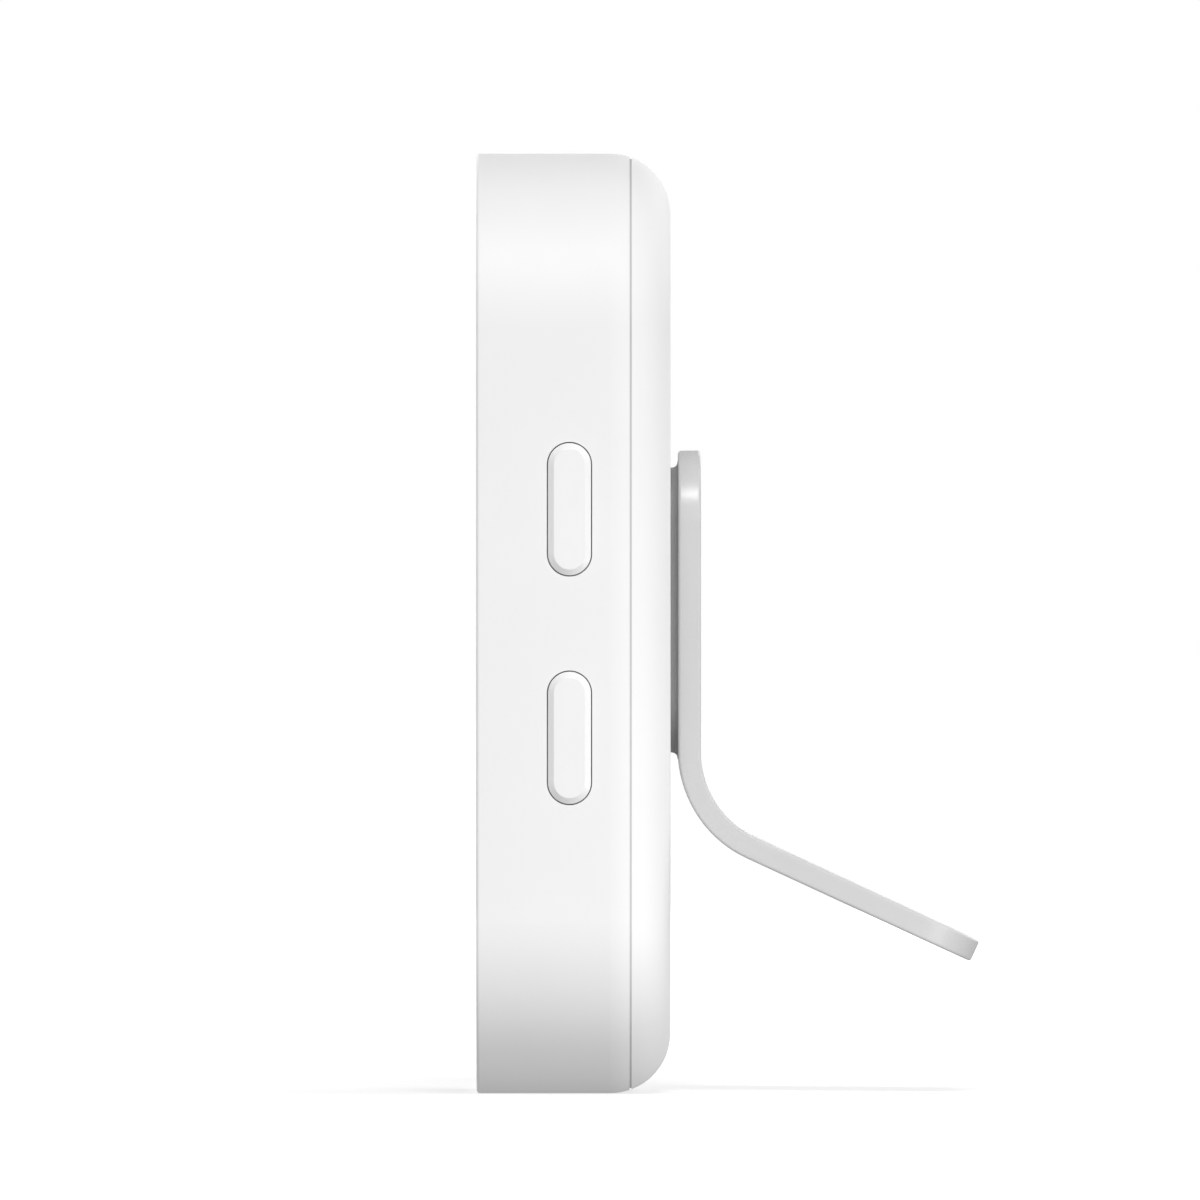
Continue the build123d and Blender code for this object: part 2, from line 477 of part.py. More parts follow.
flare_e = neck.edges().filter_by(lambda e: abs((e @ 0.5).Y - (PLATE_Y0 - 0.06)) < 1e-3 and abs(neck_dist(e)) < 0.2)
neck = fillet(flare_e, FR - 0.06)
for x, z in HOOKS:
    neck += box(x - HW / 2, x + HW / 2, 13.1, NECK_Y0 + 0.2, z, z + ST)
    neck += box(x - HW / 2, x + HW / 2, 13.1, 14.6, z, z + ST + LIPH)
for x, z in SSC:
    neck -= cyl_y(x, z, 1.6, NECK_Y0 - 1, PLATE_Y0 + 1)
    neck -= cyl_y(x, z, 2.6, NECK_Y0 - 1, NECK_Y0 + 0.55)
stand_screws = None
for x, z in SSC:
    s = cyl_y(x, z, 1.5, NECK_Y0 + 0.5, PLATE_Y0 + 2.1) + cyl_y(x, z, 2.5, NECK_Y0 + 0.05, NECK_Y0 + 0.55)
    s -= cyl_y(x, z, 0.9, NECK_Y0 - 0.1, NECK_Y0 + 0.35)
    stand_screws = s if stand_screws is None else stand_screws + s

# ---- write -----------------------------------------------------------------------------
WHITE, LIGHT, DARK, BLACK = (0.93, 0.93, 0.93), (0.8, 0.8, 0.82), (0.25, 0.25, 0.26), (0.03, 0.03, 0.035)
GREEN, STEEL, GOLD, FOAM = (0.06, 0.3, 0.18), (0.7, 0.7, 0.72), (0.75, 0.6, 0.25), (0.2, 0.2, 0.22)
save("main_housing", housing, WHITE)
save("front_glass", glass, BLACK)
save("glass_adhesive", adhesive, FOAM)
save("lcd_optical_adhesive", oca, LIGHT)
save("lcd_panel", panel, (0.1, 0.1, 0.12))
save("lcd_backlight", backlight, STEEL)
save("lcd_foam_frame", foam, FOAM)
save("lcd_flex", fx, GOLD)
save("touch_key_flex", touch, GOLD)
save("status_led", led, (0.9, 0.95, 0.9))
save("microphone", mic, STEEL)
save("mid_frame", frame_p, (0.35, 0.36, 0.38))
save("frame_screws", frame_screws, STEEL)
save("main_board", board, GREEN)
save("processor_chip", soc, BLACK)
save("thermal_pad", pad_t, (0.5, 0.6, 0.7))
save("board_chips", board_chips, BLACK)
save("board_connectors", connectors, (0.9, 0.88, 0.8))
save("wifi_shield", wifi_sh, STEEL)
save("power_shield", pow_sh, STEEL)
save("usb_c_shell", shell + shell_feet, STEEL)
save("usb_c_tongue", tongue, BLACK)
save("reset_switch", rst_body, DARK)
save("reset_plunger", rst_plunger, LIGHT)
save("battery_tray", tray, DARK)
save("board_screws", board_screws, STEEL)
save("battery_pad", bat_pad, LIGHT)
save("battery", battery, (0.7, 0.72, 0.75))
save("battery_lead", lead_a + lead_b, (0.7, 0.1, 0.1))
save("wifi_antenna", antenna, GOLD)
save("antenna_cable", coax, DARK)
save("side_key_board", key_board, GREEN)
save("side_key_bracket", bracket, STEEL)
save("side_key_flex", kflex, GOLD)
save("upper_key_switch", switches[0], LIGHT)
save("lower_key_switch", switches[1], LIGHT)
save("upper_switch_plunger", plungers[0], DARK)
save("lower_switch_plunger", plungers[1], DARK)
save("upper_side_button", buttons[0], WHITE)
save("lower_side_button", buttons[1], WHITE)
save("speaker_chamber", chamber, DARK)
save("speaker_screws", spk_screws, STEEL)
save("speaker_frame", spk_frame, DARK)
save("speaker_magnet", magnet, STEEL)
save("speaker_cone", cone, (0.15, 0.15, 0.16))
save("speaker_gasket", spk_gasket, FOAM)
save("speaker_mesh", mesh_cloth, BLACK)
save("speaker_lead", spk_lead, (0.7, 0.1, 0.1))
save("rear_cover", cover, WHITE)
save("rear_cover_screws", cover_screws, STEEL)
save("screw_caps", caps, LIGHT)
save("stand_plate", stand, LIGHT)
save("stand_neck", neck, DARK)
save("stand_screws", stand_screws, STEEL)
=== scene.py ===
import bpy, bmesh, math, json
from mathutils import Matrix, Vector

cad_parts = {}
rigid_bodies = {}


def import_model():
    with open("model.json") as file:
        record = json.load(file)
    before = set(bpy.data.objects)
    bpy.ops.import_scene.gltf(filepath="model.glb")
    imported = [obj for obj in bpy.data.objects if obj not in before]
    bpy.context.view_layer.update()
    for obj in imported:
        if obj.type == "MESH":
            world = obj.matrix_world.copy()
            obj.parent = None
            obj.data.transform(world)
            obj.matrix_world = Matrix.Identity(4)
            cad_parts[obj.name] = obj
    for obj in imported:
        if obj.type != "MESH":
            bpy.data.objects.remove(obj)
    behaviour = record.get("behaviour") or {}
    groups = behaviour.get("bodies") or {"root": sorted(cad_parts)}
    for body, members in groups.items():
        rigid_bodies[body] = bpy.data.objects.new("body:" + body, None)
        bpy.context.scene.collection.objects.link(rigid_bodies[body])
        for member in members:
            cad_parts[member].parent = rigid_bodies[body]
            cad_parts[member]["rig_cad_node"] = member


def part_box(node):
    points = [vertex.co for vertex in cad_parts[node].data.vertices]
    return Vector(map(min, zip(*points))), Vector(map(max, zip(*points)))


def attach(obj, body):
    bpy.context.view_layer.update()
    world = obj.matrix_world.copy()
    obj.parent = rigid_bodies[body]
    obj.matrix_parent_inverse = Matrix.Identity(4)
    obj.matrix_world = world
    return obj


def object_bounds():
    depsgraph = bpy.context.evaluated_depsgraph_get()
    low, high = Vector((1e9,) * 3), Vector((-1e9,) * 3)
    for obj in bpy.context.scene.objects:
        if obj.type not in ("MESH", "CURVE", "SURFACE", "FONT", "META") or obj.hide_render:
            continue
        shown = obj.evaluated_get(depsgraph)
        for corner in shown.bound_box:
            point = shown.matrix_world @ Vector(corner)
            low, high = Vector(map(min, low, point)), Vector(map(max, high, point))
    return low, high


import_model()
cad_lo, cad_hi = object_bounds()
NODES = {o["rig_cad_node"]: o for o in bpy.context.scene.objects if "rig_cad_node" in o}
MM = 0.001


# ------------------------------------------------------------------ materials
class Mat:
    """Small builder for a node material around one Principled shader."""

    def __init__(self, name, color, rough=0.5, metal=0.0, spec=0.5, coat=0.0, coat_rough=0.1):
        m = bpy.data.materials.new(name)
        m.use_nodes = True
        self.m, self.t = m, m.node_tree
        self.n, self.l = self.t.nodes, self.t.links
        self.n.clear()
        self.out = self.n.new("ShaderNodeOutputMaterial")
        self.p = self.n.new("ShaderNodeBsdfPrincipled")
        self.l.new(self.p.outputs[0], self.out.inputs[0])
        self.p.inputs["Base Color"].default_value = (*color, 1)
        self.p.inputs["Roughness"].default_value = rough
        self.p.inputs["Metallic"].default_value = metal
        self.p.inputs["Specular IOR Level"].default_value = spec
        self.p.inputs["Coat Weight"].default_value = coat
        self.p.inputs["Coat Roughness"].default_value = coat_rough
        self.tc = self.n.new("ShaderNodeTexCoord")
        self.height = None
        m.diffuse_color = (*color, 1)

    def noise(self, scale, detail=2.0, rough=0.5, stretch=None):
        src = self.tc.outputs["Object"]
        if stretch:
            mp = self.n.new("ShaderNodeMapping")
            mp.inputs["Scale"].default_value = stretch
            self.l.new(src, mp.inputs[0])
            src = mp.outputs[0]
        t = self.n.new("ShaderNodeTexNoise")
        t.inputs["Scale"].default_value = scale
        t.inputs["Detail"].default_value = detail
        t.inputs["Roughness"].default_value = rough
        self.l.new(src, t.inputs["Vector"])
        return t.outputs["Fac"]

    def voronoi(self, scale, feature="F1"):
        t = self.n.new("ShaderNodeTexVoronoi")
        t.feature = feature
        t.inputs["Scale"].default_value = scale
        self.l.new(self.tc.outputs["Object"], t.inputs["Vector"])
        return t.outputs["Distance"]

    def wave(self, scale, direction="X", distort=0.0):
        t = self.n.new("ShaderNodeTexWave")
        t.bands_direction = direction
        t.inputs["Scale"].default_value = scale
        t.inputs["Distortion"].default_value = distort
        self.l.new(self.tc.outputs["Object"], t.inputs["Vector"])
        return t.outputs["Fac"]

    def ramp(self, fac, lo, hi, clo, chi):
        r = self.n.new("ShaderNodeMapRange")
        r.inputs["From Min"].default_value = lo
        r.inputs["From Max"].default_value = hi
        r.inputs["To Min"].default_value = clo
        r.inputs["To Max"].default_value = chi
        self.l.new(fac, r.inputs["Value"])
        return r.outputs[0]

    def color_ramp(self, fac, stops):
        r = self.n.new("ShaderNodeValToRGB")
        el = r.color_ramp.elements
        while len(el) < len(stops):
            el.new(0.5)
        for e, (pos, col) in zip(el, stops):
            e.position = pos
            e.color = (*col, 1)
        self.l.new(fac, r.inputs[0])
        return r.outputs[0]

    def mix(self, fac, a, b, mode="MIX"):
        x = self.n.new("ShaderNodeMix")
        x.data_type = "RGBA"
        x.blend_type = mode
        for sock, val in ((x.inputs[0], fac), (x.inputs[6], a), (x.inputs[7], b)):
            if hasattr(val, "links") or hasattr(val, "is_output"):
                self.l.new(val, sock)
            elif isinstance(val, tuple):
                sock.default_value = (*val, 1)
            else:
                sock.default_value = val
        return x.outputs[2]

    def math(self, op, a, b=0.0):
        x = self.n.new("ShaderNodeMath")
        x.operation = op
        for sock, val in ((x.inputs[0], a), (x.inputs[1], b)):
            if hasattr(val, "is_output"):
                self.l.new(val, sock)
            else:
                sock.default_value = val
        return x.outputs[0]

    def color(self, sock):
        self.l.new(sock, self.p.inputs["Base Color"])

    def rough(self, sock):
        self.l.new(sock, self.p.inputs["Roughness"])

    def bump(self, sock, strength, dist):
        b = self.n.new("ShaderNodeBump")
        b.inputs["Strength"].default_value = strength
        b.inputs["Distance"].default_value = dist
        self.l.new(sock, b.inputs["Height"])
        if self.height is not None:
            self.l.new(self.height, b.inputs["Normal"])
        self.height = b.outputs[0]
        self.l.new(self.height, self.p.inputs["Normal"])


def slab(a, axis, lo, hi, soft=0.00001):
    """1 inside lo..hi metres along one axis of the part, 0 outside."""
    sep = a.n.new("ShaderNodeSeparateXYZ")
    a.l.new(a.tc.outputs["Object"], sep.inputs[0])
    v = sep.outputs["XYZ".index(axis)]
    return a.math("MULTIPLY", a.ramp(v, lo - soft, lo, 0.0, 1.0), a.ramp(v, hi, hi + soft, 1.0, 0.0))


def moulded(name, col, rough, grain=9000, depth=0.000012, var=0.012, spec=0.5, shade=None):
    """Moulded plastic: fine spark-erosion grain, faint flow mottling, and painted shade that darkens the colour inside
    the given gap spans.
    """
    a = Mat(name, col, rough, spec=spec)
    big = a.noise(34, 3)
    c = a.color_ramp(big, [(0.3, tuple(max(0, x - var) for x in col)), (0.7, tuple(min(1, x + var) for x in col))])
    # painted shade: inside each listed span set the colour is blended to a darker tone standing in for the shade in a
    # groove or gap
    for spans, to in shade or []:
        m = None
        for ax, lo, hi in spans:
            k = slab(a, ax, lo, hi)
            m = k if m is None else a.math("MULTIPLY", m, k)
        c = a.mix(m, c, to)
    a.color(c)
    fine = a.noise(grain, 3, 0.6)
    mid = a.noise(260, 3)
    r = a.math("ADD", a.ramp(fine, 0.3, 0.7, rough - 0.05, rough + 0.05), a.ramp(mid, 0.3, 0.7, -0.02, 0.03))
    a.rough(r)
    a.bump(fine, 0.35, depth)
    return a


m_shell = moulded("satin_white_shell", (0.885, 0.885, 0.888), 0.52, spec=0.42, shade=[
    # painted shade on the floor of the parting groove
    ([("Y", 0.01115, 0.0118)], (0.58, 0.58, 0.583)),
    # painted shade on the walls of the side-key openings
    ([("X", 0.0402, 0.04193), ("Y", -0.0004, 0.00612), ("Z", 0.0385, 0.0915)], (0.30, 0.30, 0.303)),
])
m_cover = moulded("satin_white_cover", (0.885, 0.885, 0.888), 0.50, spec=0.42, shade=[
    # painted shade on the cover's lip where it sits inside the parting groove
    ([("Y", 0.0, 0.011415)], (0.58, 0.58, 0.583)),
])
m_key = moulded("satin_white_key", (0.90, 0.90, 0.903), 0.30, grain=12000, depth=0.000006, shade=[
    # painted shade on the key sides down inside the key openings
    ([("X", 0.030, 0.04188)], (0.30, 0.30, 0.303)),
])


def powder(name, col, rough, spec=0.5):
    """Fine powder coat: orange-peel waviness over a sandy grain."""
    a = Mat(name, col, rough, spec=spec)
    peel = a.voronoi(1500, "SMOOTH_F1")
    sand = a.noise(7000, 2, 0.5)
    big = a.noise(40, 3)
    a.color(a.color_ramp(big, [(0.3, tuple(x - 0.012 for x in col)), (0.7, tuple(x + 0.012 for x in col))]))
    a.rough(a.ramp(sand, 0.3, 0.7, rough - 0.06, rough + 0.07))
    a.bump(peel, 0.25, 0.00002)
    a.bump(sand, 0.25, 0.00001)
    return a


m_stand = powder("powder_coat_grey", (0.57, 0.57, 0.573), 0.30, spec=0.45)
# the stand neck's own grey, darkened further as painted shade for the narrow slot between body and stand
m_neck = moulded("grey_plastic_painted_slot_shade", (0.32, 0.32, 0.323), 0.46, grain=7000, var=0.01)
m_cap = moulded("grey_silicone", (0.72, 0.72, 0.725), 0.6, grain=6000, var=0.01)


def glass_front():
    """Back-printed black glass; the display area shows a shade lighter and warmer."""
    a = Mat("black_cover_glass", (0.006, 0.006, 0.007), 0.05, spec=0.28)
    sep = a.n.new("ShaderNodeSeparateXYZ")
    a.l.new(a.tc.outputs["Object"], sep.inputs[0])
    cx, cz, hw, hh = 0.0, 0.0698, 0.0281, 0.0468
    dx = a.math("SUBTRACT", a.math("ABSOLUTE", a.math("SUBTRACT", sep.outputs[0], cx)), hw)
    dz = a.math("SUBTRACT", a.math("ABSOLUTE", a.math("SUBTRACT", sep.outputs[2], cz)), hh)
    d = a.math("MAXIMUM", dx, dz)
    inside = a.ramp(d, 0.0, -0.00012, 0.0, 1.0)
    ring = a.math("MULTIPLY", a.ramp(d, 0.0009, 0.00078, 0.0, 1.0), a.ramp(d, 0.0, 0.00012, 0.0, 1.0))
    c = a.mix(inside, (0.0045, 0.0045, 0.005), (0.013, 0.0135, 0.0155))
    c = a.mix(ring, c, (0.0025, 0.0025, 0.003))
    a.color(c)
    smear = a.noise(28, 4, 0.6)
    a.rough(a.ramp(smear, 0.35, 0.75, 0.03, 0.075))
    return a


m_glass = glass_front()


def flat_detail(name, col, rough, metal=0.0, scale=900, var=0.03, bump=0.2, dist=0.00001, stretch=None):
    a = Mat(name, col, rough, metal)
    f = a.noise(scale, 3, 0.6, stretch)
    a.color(a.color_ramp(f, [(0.3, tuple(max(0.0, x * (1 - var * 3)) for x in col)), (0.7, tuple(min(1.0, x * (1 + var * 2)) for x in col))]))
    a.rough(a.ramp(f, 0.3, 0.7, max(0.02, rough - 0.07), min(1, rough + 0.07)))
    a.bump(f, bump, dist)
    return a


m_metal = flat_detail("nickel_plate", (0.62, 0.61, 0.59), 0.28, 1.0, 600, stretch=(1, 1, 12))
m_screw = flat_detail("zinc_screw", (0.60, 0.61, 0.63), 0.32, 1.0, 1500)
m_black = flat_detail("black_chip", (0.02, 0.02, 0.021), 0.5, 0.0, 2500)
m_frame = flat_detail("glass_filled_black", (0.03, 0.03, 0.032), 0.5, 0.0, 1800, bump=0.4, dist=0.00002)
m_foam = Mat("black_foam", (0.03, 0.03, 0.031), 0.9)
m_foam.bump(m_foam.voronoi(2600), 0.8, 0.0001)
m_foam.rough(m_foam.ramp(m_foam.voronoi(2600), 0.0, 0.8, 0.8, 0.98))
m_amber = flat_detail("polyimide_flex", (0.42, 0.21, 0.035), 0.3, 0.0, 900)
m_oca = flat_detail("optical_adhesive_film", (0.6, 0.6, 0.6), 0.1, 0.0, 100)
m_lcd = flat_detail("display_cell", (0.03, 0.03, 0.036), 0.12, 0.0, 90)
m_ivory = flat_detail("nylon_ivory", (0.72, 0.67, 0.52), 0.42, 0.0, 900)
m_blue = flat_detail("thermal_silicone", (0.27, 0.36, 0.52), 0.6, 0.0, 1200)
m_foil = flat_detail("pouch_foil", (0.66, 0.67, 0.69), 0.34, 0.85, 180, var=0.02, bump=0.5, dist=0.00008)
m_red = flat_detail("silicone_wire_red", (0.42, 0.02, 0.02), 0.42, 0.0, 700)
m_cable = flat_detail("coax_black", (0.02, 0.02, 0.02), 0.4, 0.0, 900)
m_cone = flat_detail("treated_cone", (0.03, 0.03, 0.032), 0.55, 0.0, 1500, bump=0.5, dist=0.00003)
m_led = flat_detail("led_epoxy", (0.75, 0.8, 0.75), 0.12, 0.0, 300)
m_glue = flat_detail("foam_tape_black", (0.025, 0.025, 0.025), 0.8, 0.0, 2500)


def board():
    a = Mat("solder_mask_green", (0.015, 0.11, 0.05), 0.28, coat=0.3)
    tr = a.n.new("ShaderNodeTexBrick")
    tr.inputs["Scale"].default_value = 260
    tr.inputs["Mortar Size"].default_value = 0.012
    a.l.new(a.tc.outputs["Object"], tr.inputs["Vector"])
    f = a.noise(300, 4)
    col = a.color_ramp(f, [(0.35, (0.012, 0.09, 0.04)), (0.65, (0.02, 0.14, 0.07))])
    a.color(a.mix(a.ramp(tr.outputs["Fac"], 0, 1, 0.0, 0.35), col, (0.04, 0.22, 0.1)))
    a.rough(a.ramp(f, 0.3, 0.7, 0.22, 0.36))
    a.bump(tr.outputs["Fac"], 0.2, 0.00002)
    return a


m_board = board()


def mesh_cloth():
    a = Mat("acoustic_mesh", (0.02, 0.02, 0.02), 0.8)
    w = a.math("MULTIPLY", a.wave(1600, "X"), a.wave(1600, "Z"))
    a.color(a.color_ramp(w, [(0.1, (0.006, 0.006, 0.006)), (0.7, (0.05, 0.05, 0.05))]))
    a.rough(a.ramp(w, 0, 1, 0.9, 0.6))
    a.bump(w, 0.8, 0.00006)
    return a


m_mesh = mesh_cloth()

MATS = {
    "main_housing": m_shell, "rear_cover": m_cover, "front_glass": m_glass,
    "upper_side_button": m_key, "lower_side_button": m_key,
    "stand_plate": m_stand, "stand_neck": m_neck, "screw_caps": m_cap,
    "glass_adhesive": m_glue, "lcd_optical_adhesive": m_oca, "lcd_panel": m_lcd,
    "lcd_backlight": m_metal, "lcd_foam_frame": m_foam, "lcd_flex": m_amber,
    "touch_key_flex": m_amber, "status_led": m_led, "microphone": m_metal,
    "mid_frame": m_frame, "frame_screws": m_screw, "main_board": m_board,
    "processor_chip": m_black, "thermal_pad": m_blue, "board_chips": m_black,
    "board_connectors": m_ivory, "wifi_shield": m_metal, "power_shield": m_metal,
    "usb_c_shell": m_metal, "usb_c_tongue": m_black, "reset_switch": m_ivory,
    "reset_plunger": m_ivory, "battery_tray": m_frame, "board_screws": m_screw,
    "battery_pad": m_foam, "battery": m_foil, "battery_lead": m_red,
    "wifi_antenna": m_amber, "antenna_cable": m_cable, "side_key_board": m_board,
    "side_key_bracket": m_metal, "side_key_flex": m_amber,
    "upper_key_switch": m_ivory, "lower_key_switch": m_ivory,
    "upper_switch_plunger": m_black, "lower_switch_plunger": m_black,
    "speaker_chamber": m_frame, "speaker_screws": m_screw, "speaker_frame": m_black,
    "speaker_magnet": m_metal, "speaker_cone": m_cone, "speaker_gasket": m_foam,
    "speaker_mesh": m_mesh, "speaker_lead": m_red,
    "rear_cover_screws": m_screw, "stand_screws": m_screw,
}
for name, o in NODES.items():
    mat = MATS[name].m
    if not o.material_slots:
        o.data.materials.append(mat)
    for s in o.material_slots:
        s.material = mat
    o.data.shade_smooth()
    o.data.set_sharp_from_angle(angle=math.radians(24))

# ------------------------------------------------------------------ small pieces
def mesh_piece(name, bm, mat, body, smooth=True, angle=30):
    bmesh.ops.recalc_face_normals(bm, faces=bm.faces)
    me = bpy.data.meshes.new(name)
    bm.to_mesh(me)
    bm.free()
    o = bpy.data.objects.new(name, me)
    bpy.context.scene.collection.objects.link(o)
    me.materials.append(mat.m)
    if smooth:
        me.shade_smooth()
        me.set_sharp_from_angle(angle=math.radians(angle))
    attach(o, body)
    return o


def prism(bm, pts, y0, y1, cx=0.0, cz=0.0):
    """Closed prism from a counter-clockwise outline in X, Z (mm)."""
    n = len(pts)
    a = [bm.verts.new(((cx + x) * MM, y0 * MM, (cz + z) * MM)) for x, z in pts]
    b = [bm.verts.new(((cx + x) * MM, y1 * MM, (cz + z) * MM)) for x, z in pts]
    bm.faces.new(a)
    bm.faces.new(b[::-1])
    for i in range(n):
        bm.faces.new((a[i], b[i], b[(i + 1) % n], a[(i + 1) % n]))


def band(bm, outer, inner, y0, y1, cx=0.0, cz=0.0, closed=True):
    """Closed ring (or open strip) between two outlines of equal point count."""
    n = len(outer)
    v = [[bm.verts.new(((cx + x) * MM, y * MM, (cz + z) * MM)) for x, z in ring] for ring in (outer, inner) for y in (y0, y1)]
    o0, o1, i0, i1 = v
    last = n if closed else n - 1
    for i in range(last):
        j = (i + 1) % n
        bm.faces.new((o0[i], o0[j], i0[j], i0[i]))
        bm.faces.new((o1[i], i1[i], i1[j], o1[j]))
        bm.faces.new((o0[i], o1[i], o1[j], o0[j]))
        bm.faces.new((i0[i], i0[j], i1[j], i1[i]))
    if not closed:
        for k in (0, n - 1):
            bm.faces.new((o0[k], i0[k], i1[k], o1[k]))


def arc(r, a0, a1, n, cx=0.0, cz=0.0):
    return [(cx + r * math.cos(math.radians(a0 + (a1 - a0) * i / n)), cz + r * math.sin(math.radians(a0 + (a1 - a0) * i / n))) for i in range(n + 1)]


def rrect(w, h, r, n=8):
    pts = []
    for sx, sz, a in ((1, 1, 0), (-1, 1, 90), (-1, -1, 180), (1, -1, 270)):
        pts += arc(r, a, a + 90, n, sx * (w / 2 - r), sz * (h / 2 - r))
    return pts


gl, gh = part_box("front_glass")
GY = gl.y / MM                     # glass front plane, mm
IC0, IC1 = GY - 0.012, GY + 0.006  # a print this thin lies on the glass
m_print = flat_detail("key_print", (0.50, 0.51, 0.52), 0.45, 0.0, 2500, var=0.015, bump=0.1, dist=0.000003)

KEY_Z, KEY_DX = 14.2, 15.0
# talk: two waves beside a dot
bm = bmesh.new()
band(bm, arc(2.3, 0, 360, 48)[:-1], arc(2.02, 0, 360, 48)[:-1], IC0, IC1, -KEY_DX, KEY_Z)
prism(bm, arc(0.55, 0, 360, 24)[:-1], IC0, IC1, -KEY_DX, KEY_Z)
for r in (1.05, 1.5):
    for a0 in (-38, 142):
        band(bm, arc(r + 0.11, a0, a0 + 76, 14), arc(r - 0.11, a0, a0 + 76, 14), IC0, IC1, -KEY_DX, KEY_Z, closed=False)
mesh_piece("talk_key_print", bm, m_print, "monitor")
# unlock: a padlock
bm = bmesh.new()
prism(bm, rrect(2.7, 2.0, 0.35), IC0, IC1, 0, KEY_Z - 0.75)
sh_o = [(0.98, 0.12)] + arc(0.98, 0, 180, 18, 0, 0.72) + [(-0.98, 0.12)]
sh_i = [(0.70, 0.12)] + arc(0.70, 0, 180, 18, 0, 0.72) + [(-0.70, 0.12)]
sh_o[0], sh_i[0] = (0.98, 0.26), (0.70, 0.26)
sh_o[-1], sh_i[-1] = (-0.98, 0.26), (-0.70, 0.26)
band(bm, sh_o, sh_i, IC0, IC1, 0, KEY_Z, closed=False)
mesh_piece("unlock_key_print", bm, m_print, "monitor")
# view: an eye
bm = bmesh.new()
up = [(2.15 * math.cos(t), 1.25 * math.sin(t) ** 1.25) for t in [math.pi * i / 24 for i in range(25)]]
eye_o = up + [(x, -z) for x, z in up[-2:0:-1]]
eye_i = [(x * 0.84, z * 0.76) for x, z in eye_o]
band(bm, eye_o, eye_i, IC0, IC1, KEY_DX, KEY_Z)
prism(bm, arc(0.58, 0, 360, 24)[:-1], IC0, IC1, KEY_DX, KEY_Z)
mesh_piece("view_key_print", bm, m_print, "monitor")

# status light: a small clear slot in the print, lit from behind
m_glow = flat_detail("led_window", (0.55, 0.75, 0.60), 0.2, 0.0, 600, var=0.01)
m_glow.p.inputs["Emission Color"].default_value = (0.42, 1.0, 0.55, 1)
m_glow.p.inputs["Emission Strength"].default_value = 0.35
bm = bmesh.new()
prism(bm, rrect(1.7, 0.55, 0.27), IC0, IC1, -9.0, 8.2)
mesh_piece("status_light_window", bm, m_glow, "monitor")
# cloth dot behind the microphone hole
bm = bmesh.new()
prism(bm, arc(0.58, 0, 360, 32)[:-1], GY + 0.62, GY + 0.72, 9.0, 8.2)
mesh_piece("microphone_cloth", bm, m_mesh, "monitor")

# USB-C contact pads on both sides of the tongue
tl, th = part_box("usb_c_tongue")
m_gold = flat_detail("gold_contact", (0.83, 0.60, 0.24), 0.22, 1.0, 2500)
bm = bmesh.new()
zc = (tl.z + th.z) / 2 / MM
for k in range(12):
    z = zc + (k - 5.5) * 0.5
    for y0, y1 in ((tl.y / MM - 0.02, tl.y / MM + 0.03), (th.y / MM - 0.03, th.y / MM + 0.02)):
        x0, x1 = tl.x / MM + 0.5, tl.x / MM + 4.2
        c = [bm.verts.new((x * MM, y * MM, zz * MM)) for x in (x0, x1) for y in (y0, y1) for zz in (z - 0.13, z + 0.13)]
        for f in ((0, 1, 3, 2), (4, 6, 7, 5), (0, 4, 5, 1), (2, 3, 7, 6), (0, 2, 6, 4), (1, 5, 7, 3)):
            bm.faces.new([c[i] for i in f])
mesh_piece("usb_c_contacts", bm, m_gold, "monitor", smooth=False)

# ------------------------------------------------------------------ camera
cam = bpy.data.cameras.new("camera")
cam_o = bpy.data.objects.new("camera", cam)
bpy.context.scene.collection.objects.link(cam_o)
bpy.context.scene.camera = cam_o
cam.type = "PERSP"
cam.sensor_width = 36.0
cam.lens = 1000.0
WORLD_W = 0.16564                      # metres across the square frame at the object's middle
dist = WORLD_W * cam.lens / cam.sensor_width
aim = Vector((0.030, 0.00706, 0.06824))
cam_o.location = aim + Vector((dist, 0, 0))
cam_o.rotation_mode = "QUATERNION"
cam_o.rotation_quaternion = Vector((-1, 0, 0)).to_track_quat("-Z", "Y")
cam.clip_start, cam.clip_end = 0.05, 30.0

# ------------------------------------------------------------------ stage
# name, azimuth, elevation, distance, width, height, radiance given to a facing white surface
LIGHTS = [
    ("key_high", 92, 45, 2.2, 0.64, 0.56, 0.475),
    ("key_low", 90, 6, 2.6, 2.2, 1.4, 0.140),
    ("rear_right", 128, 8, 2.4, 1.6, 1.6, 0.180),
    ("front_fill", -58, 5, 2.4, 2.4, 2.4, 0.750),
    ("rear_fill", 240, 5, 2.4, 2.4, 2.4, 0.520),
]
W_SKY, F_NEAR, F_FAR = 0.36, 0.45, 0.36

sc = bpy.context.scene
sc.view_settings.view_transform = "Standard"
sc.view_settings.look = "None"
sc.view_settings.exposure = 0.0
sc.view_settings.gamma = 1.0

w = bpy.data.worlds.new("studio") if sc.world is None else sc.world
sc.world = w
w.use_nodes = True
wt = w.node_tree
wt.nodes.clear()
wo = wt.nodes.new("ShaderNodeOutputWorld")
bg_cam = wt.nodes.new("ShaderNodeBackground")
bg_cam.inputs[0].default_value = (1, 1, 1, 1)
bg_cam.inputs[1].default_value = 1.0
bg_lit = wt.nodes.new("ShaderNodeBackground")
bg_lit.inputs[0].default_value = (1, 1, 1, 1)
bg_lit.inputs[1].default_value = W_SKY
lp = wt.nodes.new("ShaderNodeLightPath")
mx = wt.nodes.new("ShaderNodeMixShader")
wt.links.new(lp.outputs["Is Camera Ray"], mx.inputs[0])
wt.links.new(bg_lit.outputs[0], mx.inputs[1])
wt.links.new(bg_cam.outputs[0], mx.inputs[2])
wt.links.new(mx.outputs[0], wo.inputs[0])

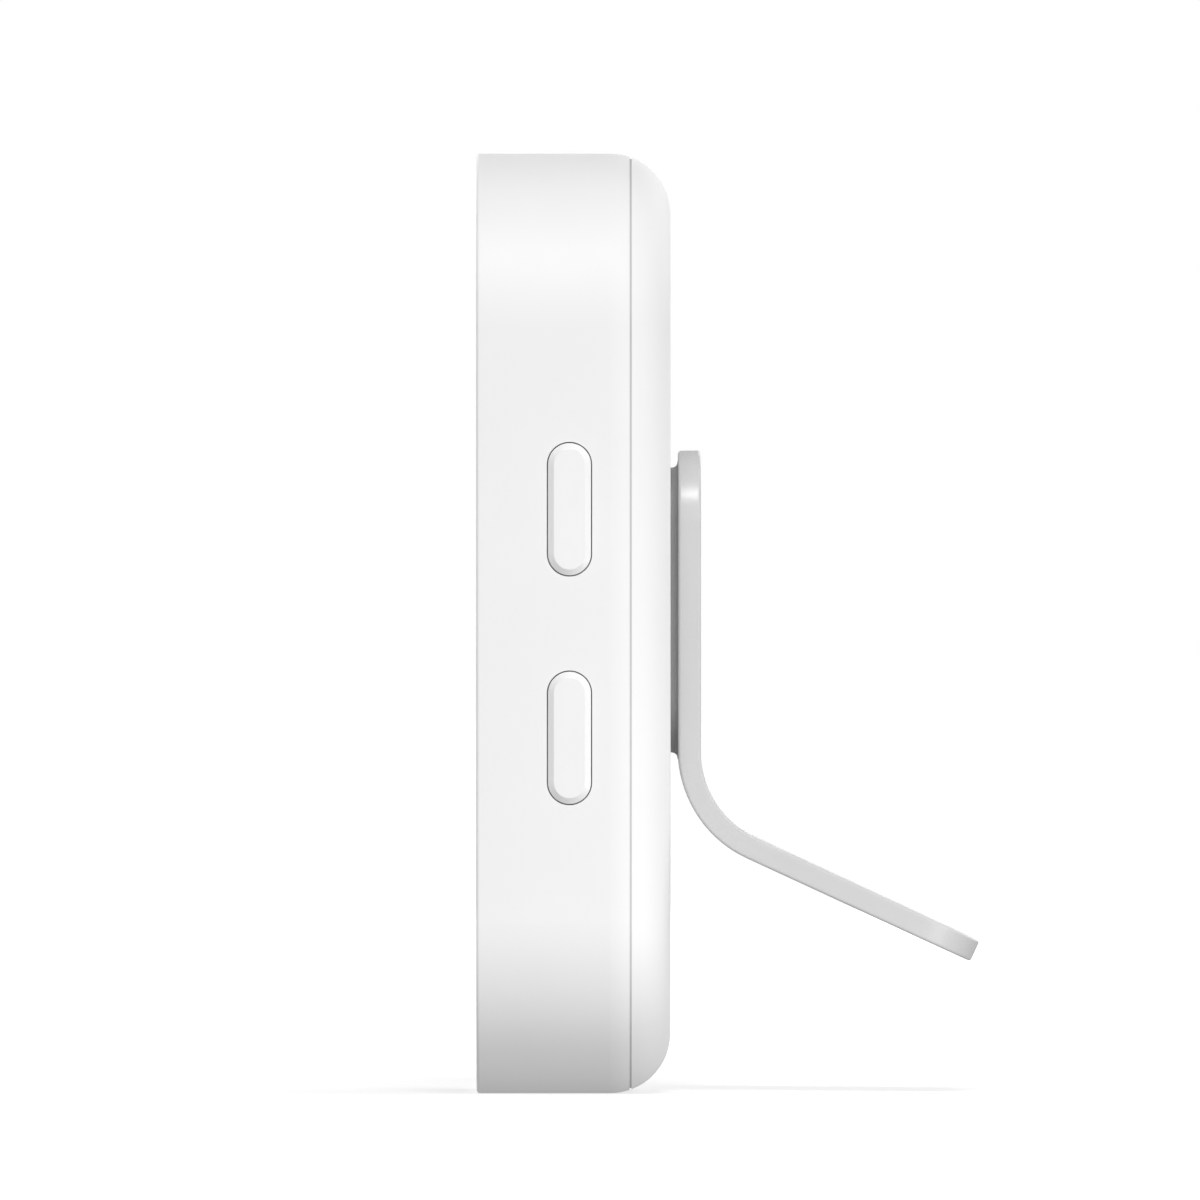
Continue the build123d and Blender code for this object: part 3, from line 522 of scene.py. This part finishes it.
bm = bmesh.new()
R, N = 14.0, 96
ring0 = [bm.verts.new((R * math.cos(2 * math.pi * i / N), R * math.sin(2 * math.pi * i / N), 0)) for i in range(N)]
bm.faces.new(ring0)
me = bpy.data.meshes.new("studio_floor")
bm.to_mesh(me)
bm.free()
floor = bpy.data.objects.new("studio_floor", me)
floor.location.z = cad_lo.z - 0.00002
sc.collection.objects.link(floor)
fm = bpy.data.materials.new("studio_floor_white")
fm.use_nodes = True
ft = fm.node_tree
ft.nodes.clear()
fo = ft.nodes.new("ShaderNodeOutputMaterial")
ftc = ft.nodes.new("ShaderNodeTexCoord")
flen = ft.nodes.new("ShaderNodeVectorMath")
flen.operation = "LENGTH"
ft.links.new(ftc.outputs["Object"], flen.inputs[0])


def radial(r0, r1, v0, v1):
    n = ft.nodes.new("ShaderNodeMapRange")
    n.interpolation_type = "SMOOTHSTEP"
    n.inputs["From Min"].default_value = r0
    n.inputs["From Max"].default_value = r1
    n.inputs["To Min"].default_value = v0
    n.inputs["To Max"].default_value = v1
    ft.links.new(flen.outputs["Value"], n.inputs["Value"])
    return n.outputs[0]


d_cam = ft.nodes.new("ShaderNodeBsdfDiffuse")
d_cam.inputs[0].default_value = (0.62, 0.62, 0.62, 1)
em = ft.nodes.new("ShaderNodeEmission")
em.inputs[0].default_value = (1, 1, 1, 1)
ft.links.new(radial(0.05, 0.6, 0.52, 0.82), em.inputs[1])
add = ft.nodes.new("ShaderNodeAddShader")
ft.links.new(d_cam.outputs[0], add.inputs[0])
ft.links.new(em.outputs[0], add.inputs[1])
d_lit = ft.nodes.new("ShaderNodeEmission")
d_lit.inputs[0].default_value = (1, 1, 1, 1)
ft.links.new(radial(0.02, 0.7, F_NEAR, F_FAR), d_lit.inputs[1])
flp = ft.nodes.new("ShaderNodeLightPath")
fmx = ft.nodes.new("ShaderNodeMixShader")
ft.links.new(flp.outputs["Is Camera Ray"], fmx.inputs[0])
ft.links.new(d_lit.outputs[0], fmx.inputs[1])
ft.links.new(add.outputs[0], fmx.inputs[2])
ft.links.new(fmx.outputs[0], fo.inputs[0])
floor.data.materials.append(fm)


def area(name, loc, target, size, watts, size_y=None):
    l = bpy.data.lights.new(name, "AREA")
    l.energy = watts
    l.size = size
    if size_y:
        l.shape = "RECTANGLE"
        l.size_y = size_y
    o = bpy.data.objects.new(name, l)
    o.location = loc
    o.rotation_mode = "QUATERNION"
    o.rotation_quaternion = (Vector(target) - Vector(loc)).to_track_quat("-Z", "Y")
    o.visible_camera = False
    sc.collection.objects.link(o)
    return o


C = (0, 0.007, 0.065)


def polar(az, el, r):
    # az: 0 = from the front (-Y), 90 = from +X
    a, e = math.radians(az), math.radians(el)
    return (C[0] + r * math.sin(a) * math.cos(e), C[1] - r * math.cos(a) * math.cos(e), C[2] + r * math.sin(e))


def watts(r, e):
    # power of a panel at distance r that gives a facing white surface the radiance e
    return e * math.pi * math.pi * r * r


for nm, az, el, r, sx, sy, e in LIGHTS:
    if e > 0:
        area(nm, polar(az, el, r), C, sx, watts(r, e), sy)

# a small light low beside the foot of the stand, in place of a white bounce card; it casts no shadow
card = area("bounce_card", (0.108, 0.152, 0.006), (0.018, 0.052, 0.012), 0.09, watts(0.22, 0.17), 0.06)
card.data.use_shadow = False
